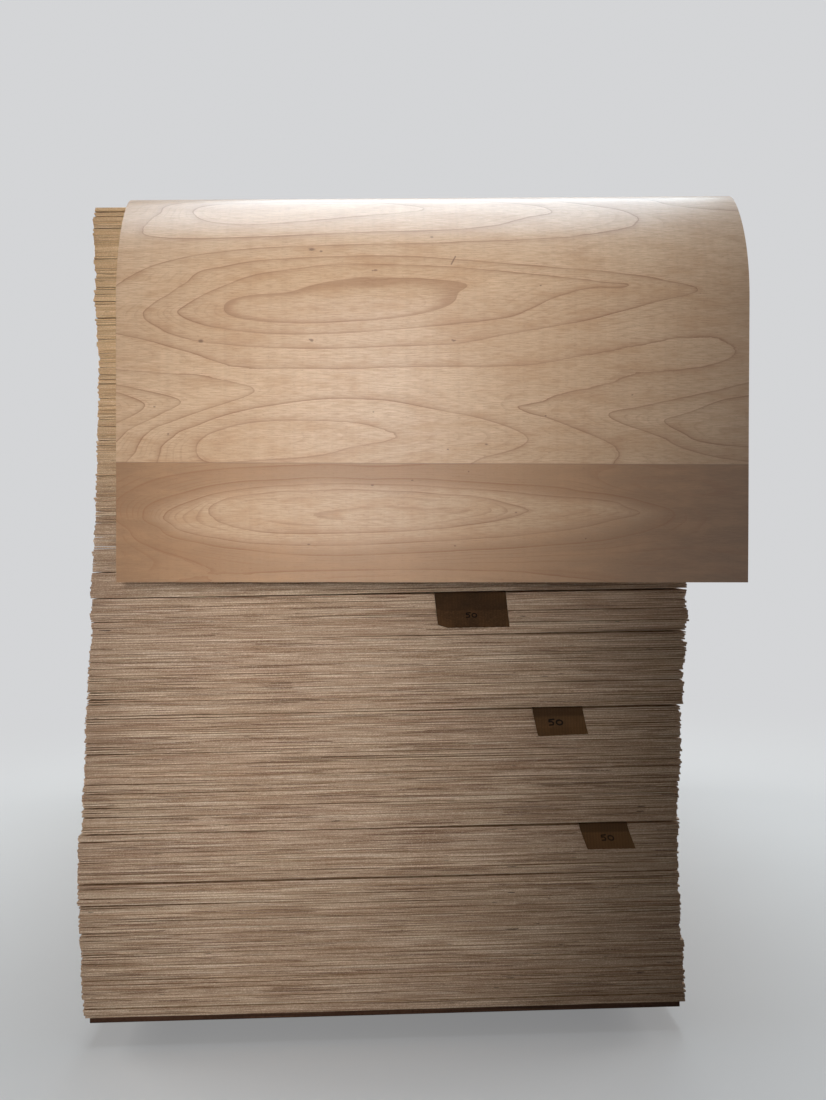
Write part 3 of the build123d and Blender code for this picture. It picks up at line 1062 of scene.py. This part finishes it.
def veneer_looks(name, outer_face):
    """Rotary-cut veneer: nested growth rings, a splice, pin knots, fine fibres and a sheen."""
    looks = Looks(name)
    chart = looks.chart()
    across, run = looks.split(chart)[:2]

    def streaks(along, over, start, detail=2.0, roughness=0.5):
        """Noise along the grain, which runs across the sheet, and over it."""
        return looks.stretched((across, along), (run, over), start, detail=detail, roughness=roughness)

    # Depth in the log, and how far a place lies inside the next growth ring
    below = looks.fade(run, splice_run - 0.0004, splice_run + 0.0004, smooth=False)
    if outer_face:
        upper, lower = (looks.attribute(f"{leaf}_rings") for leaf in ("upper", "lower"))
        upper_slope, lower_slope = (looks.attribute(f"{leaf}_slope") for leaf in ("upper", "lower"))
        slope = looks.times_plus(looks.minus(lower_slope, upper_slope), below, upper_slope)
        slope = looks.math("MAXIMUM", 4.0, slope)
        heart = looks.fade(lower, -1.2, 1.3)
    else:
        upper = lower = looks.times(streaks(2.0, 9.0, 4.0, 1.0), 12.0)
        slope = 25.0
        heart = 0.5
    wiggle = looks.times_plus(streaks(26.0, 90.0, 1.7, 3.0, 0.55), 0.05, -0.025)
    leaf_step = looks.minus(lower, upper)
    field = looks.times_plus(leaf_step, below, looks.math("ADD", upper, wiggle))
    rings = looks.math("FRACT", field)
    inside = looks.math("DIVIDE", looks.minus(1.0, rings), slope)

    # Late wood: a fine line, a band that fades inwards, faint rings between, and a dark wedge
    line = looks.fade(inside, 0.0006, 0.0036, 1.0, 0.0)
    band = looks.fade(inside, 0.0, 0.024, 1.0, 0.0, smooth=False)
    band = looks.times(band, band)
    strength = looks.fade(streaks(7.0, 24.0, 5.0), 0.3, 0.7, 0.5, 1.0)
    late = looks.times(looks.times_plus(line, 0.44, looks.times(band, 0.42)), strength)
    cloud = streaks(2.2, 7.0, 8.0, 3.0)
    between = looks.math("FRACT", looks.times_plus(field, 5.0, looks.times(cloud, 2.0)))
    faint = looks.times(looks.fade(between, 0.62, 0.97), looks.fade(strength, 0.6, 0.9, 0.03, 0.17))
    faint = looks.times(faint, looks.times_plus(below, 1.1, 1.0))
    late = looks.math("MAXIMUM", late, faint)
    wedge = looks.times(looks.fade(upper, -2.35, -2.02), looks.fade(upper, -1.99, -1.985, 1.0, 0.0))
    wedge = looks.times(wedge, looks.minus(1.0, below))
    late = looks.math("MAXIMUM", late, looks.times(wedge, 0.5))

    # Wood of the two leaves: the lower one is darker away from its heart
    pale = looks.mix(looks.fade(cloud, 0.3, 0.7), tone(203, 169, 135), tone(219, 188, 156))
    from_middle = looks.math("ABSOLUTE", looks.math("ADD", across, 0.1))
    outer = looks.mix(looks.fade(from_middle, 0.2, 0.62), tone(162, 123, 87), tone(130, 91, 54))
    lower_leaf = looks.mix(heart, tone(200, 167, 134), outer)
    looks.colour = looks.mix(below, pale, looks.mix(0.9, pale, lower_leaf))
    streak = streaks(40.0, 430.0, 7.0, 2.0, 0.55)
    looks.stain(streak, 0.35, 0.7, 0.42, (168, 124, 86))
    mottle = streaks(9.0, 34.0, 2.0, 3.0, 0.6)
    looks.stain(mottle, 0.42, 0.68, 0.4, (182, 138, 98))
    looks.cover(late, (140, 92, 54))

    # Fibres, flecks, the lathe's chatter, knots and the seam
    fibre = streaks(30.0, 1100.0, 0.0, 3.0, 0.6)
    looks.stain(fibre, 0.42, 0.72, 0.32, (140, 101, 68))
    fleck = streaks(120.0, 900.0, 3.0, 1.0)
    looks.stain(fleck, 0.62, 0.72, 0.34, (120, 82, 52))
    chatter = streaks(95.0, 1.4, 6.0)
    looks.stain(chatter, 0.35, 0.7, 0.06, (120, 84, 58))
    if outer_face:
        looks.cover(knots_and_gum(looks, chart), (92, 54, 30))
    seam = looks.fade(looks.apart(run, splice_run), 0.0005, 0.0016, 0.4, 0.0)
    looks.cover(seam, (104, 70, 44))
    looks.bump(looks.times_plus(fibre, 0.6, looks.times(late, -0.5)), 0.22, 0.0004)
    roughness = looks.times_plus(late, 0.10, looks.fade(fibre, 0.3, 0.7, 0.34, 0.43))
    tangent = looks.new("ShaderNodeTangent")
    tangent.direction_type = "UV_MAP"
    tangent.uv_map = "chart"
    looks.put(looks.surface.inputs["Tangent"], tangent.outputs[0])
    for part, value in (
        ("Anisotropic", 0.75),
        ("Anisotropic Rotation", 0.25),
        ("Coat Weight", 0.6),
        ("Coat Roughness", 0.28),
        ("Coat IOR", 1.8),
    ):
        looks.surface.inputs[part].default_value = value
    return looks.finish(roughness, 0.35)


veneer, underside = veneer_looks("loose_veneer", True), veneer_looks("loose_underside", False)
loose_mesh = draped_mesh(veneer, underside, edge_material)
add_piece("loose_sheet", loose_mesh, "draped_sheet")

# Camera, fitted to the picture's frame: its focal length is in pixels of the frame's height
frame_height = 1100
focal_length = 1150
camera_place = (-0.0146, -3.5611, 1.0217)
yaw, pitch, roll = radians(-1.729), radians(-0.502), radians(0.908)
camera_data = bpy.data.cameras.new("camera")
camera_data.sensor_fit = "VERTICAL"
camera_data.sensor_height = 36
camera_data.lens = 36 * focal_length / frame_height
camera_data.dof.use_dof = False
camera = add_object("camera", camera_data)
level_right = Vector((cos(yaw), sin(yaw), 0))
level_ahead = Vector((-sin(yaw), cos(yaw), 0))
ahead = cos(pitch) * level_ahead + sin(pitch) * Vector((0, 0, 1))
plain_up = -sin(pitch) * level_ahead + cos(pitch) * Vector((0, 0, 1))
right = cos(roll) * level_right - sin(roll) * plain_up
up = sin(roll) * level_right + cos(roll) * plain_up
turned = Matrix((right, up, -ahead)).transposed().to_4x4()
camera.matrix_world = Matrix.Translation(camera_place) @ turned
bpy.context.scene.camera = camera

# Floor and backdrop: pale where the eye or a reflection meets them, and dim as light on the object
backdrop_colour = tone(222, 223, 225)
backdrop_strength = 0.9
ambient_colour = tone(244, 232, 218)
ambient_strength = 0.10
floor_reach = 14


def seen_directly(tree):
    """1 where the eye or a reflection meets the background, 0 where it only lights the object."""
    path = tree.nodes.new("ShaderNodeLightPath")
    total = path.outputs["Is Camera Ray"]
    for ray in ("Is Glossy Ray", "Is Transmission Ray"):
        node = tree.nodes.new("ShaderNodeMath")
        node.operation = "MAXIMUM"
        tree.links.new(total, node.inputs[0])
        tree.links.new(path.outputs[ray], node.inputs[1])
        total = node.outputs[0]
    return total


def blend_shaders(tree, amount, first, second, output):
    """Send a blend of two shaders to a material's or the world's output."""
    blend = tree.nodes.new("ShaderNodeMixShader")
    for socket, source in zip(blend.inputs, (amount, first.outputs[0], second.outputs[0])):
        tree.links.new(source, socket)
    tree.links.new(blend.outputs[0], tree.nodes[output].inputs["Surface"])


def plain_glow(tree, kind, colour, strength):
    glow = tree.nodes.new(kind)
    glow.inputs["Color"].default_value = colour
    glow.inputs["Strength"].default_value = strength
    return glow


def floor_looks():
    """Plain pale floor that fades into the backdrop further out."""
    looks = Looks("floor")
    mottle = looks.noise(looks.place(), 0.8, 3.0, 0.5)
    looks.colour = tone(226, 225, 222)
    looks.stain(mottle, 0.3, 0.7, 0.06, (150, 146, 140))
    seen = seen_directly(looks.tree)
    looks.colour = looks.mix(seen, tone(150, 148, 144), looks.colour)
    far = looks.fade(looks.vector("LENGTH", looks.place()), 0.9, 4.2, 0.3, 1.0)
    glow = plain_glow(looks.tree, "ShaderNodeEmission", backdrop_colour, backdrop_strength)
    blend_shaders(looks.tree, looks.times(far, seen), looks.surface, glow, "Material Output")
    return looks.finish(0.9, 0.1)


floor_corners = [(x * floor_reach, y * floor_reach, 0) for x, y in ((-1, -1), (1, -1), (1, 1), (-1, 1))]
floor_mesh = new_mesh("floor", floor_corners, [(0, 1, 2, 3)], floor_looks())
add_object("floor", floor_mesh)

world = bpy.data.worlds.new("studio")
world.use_nodes = True
tree = world.node_tree
ambient = tree.nodes["Background"]
ambient.inputs["Color"].default_value = ambient_colour
ambient.inputs["Strength"].default_value = ambient_strength
backdrop = plain_glow(tree, "ShaderNodeBackground", backdrop_colour, backdrop_strength)
blend_shaders(tree, seen_directly(tree), ambient, backdrop, "World Output")
bpy.context.scene.world = world


def lamp(name, place, aim, power, colour, size, roll=0.0, spread=pi, glossy=True):
    """A soft light of two side lengths, aimed at a place and turned round its aim."""
    data = bpy.data.lights.new(name, "AREA")
    data.shape = "RECTANGLE"
    data.size, data.size_y = size
    data.energy = power
    data.color = colour
    data.spread = spread
    item = add_object(name, data)
    item.location = place
    turned = (Vector(aim) - Vector(place)).to_track_quat("-Z", "Y")
    item.rotation_euler = (turned @ Quaternion((0, 0, 1), roll)).to_euler()
    item.visible_camera = False
    item.visible_glossy = glossy


# A tall soft light from the front, which weakens to both sides: most of it leaves no gloss on the
# hanging veneer. A wide one above gives the bend its pale sheen, and three light the other sides.
front = (-0.05, -5.6, 1.5), (-0.24, -1.3, 1.05)
front_size = (0.45, 2.2)
front_shape = dict(roll=radians(-8), spread=radians(24))
white = (1.0, 1.0, 1.0)
lamp("front", *front, 5.4, (1.0, 1.0, 0.98), front_size, glossy=False, **front_shape)
lamp("front_glow", *front, 0.7, white, front_size, **front_shape)
lamp("upper_right", (0.6, -5.6, 1.9), (0.42, -1.3, 1.52), 0.36, (0.98, 0.99, 1.0), (0.5, 0.3),
     spread=radians(15), glossy=False)
lamp("left", (-5.2, 1.6, 2.6), (-0.6, 0.2, 0.9), 110, white, (3.0, 2.0))
lamp("right", (5.4, 1.6, 2.6), (0.6, 0.2, 0.9), 95, white, (3.0, 2.0))
lamp("back", (0.8, 6.4, 2.6), (0.0, 1.2, 0.9), 110, white, (3.0, 2.0))
lamp("above", (0.3, 0.3, 6.0), (0.25, 0.0, 1.7), 246, (0.76, 0.89, 1.0), (3.2, 5.8))

bpy.context.scene.view_settings.view_transform = "Standard"
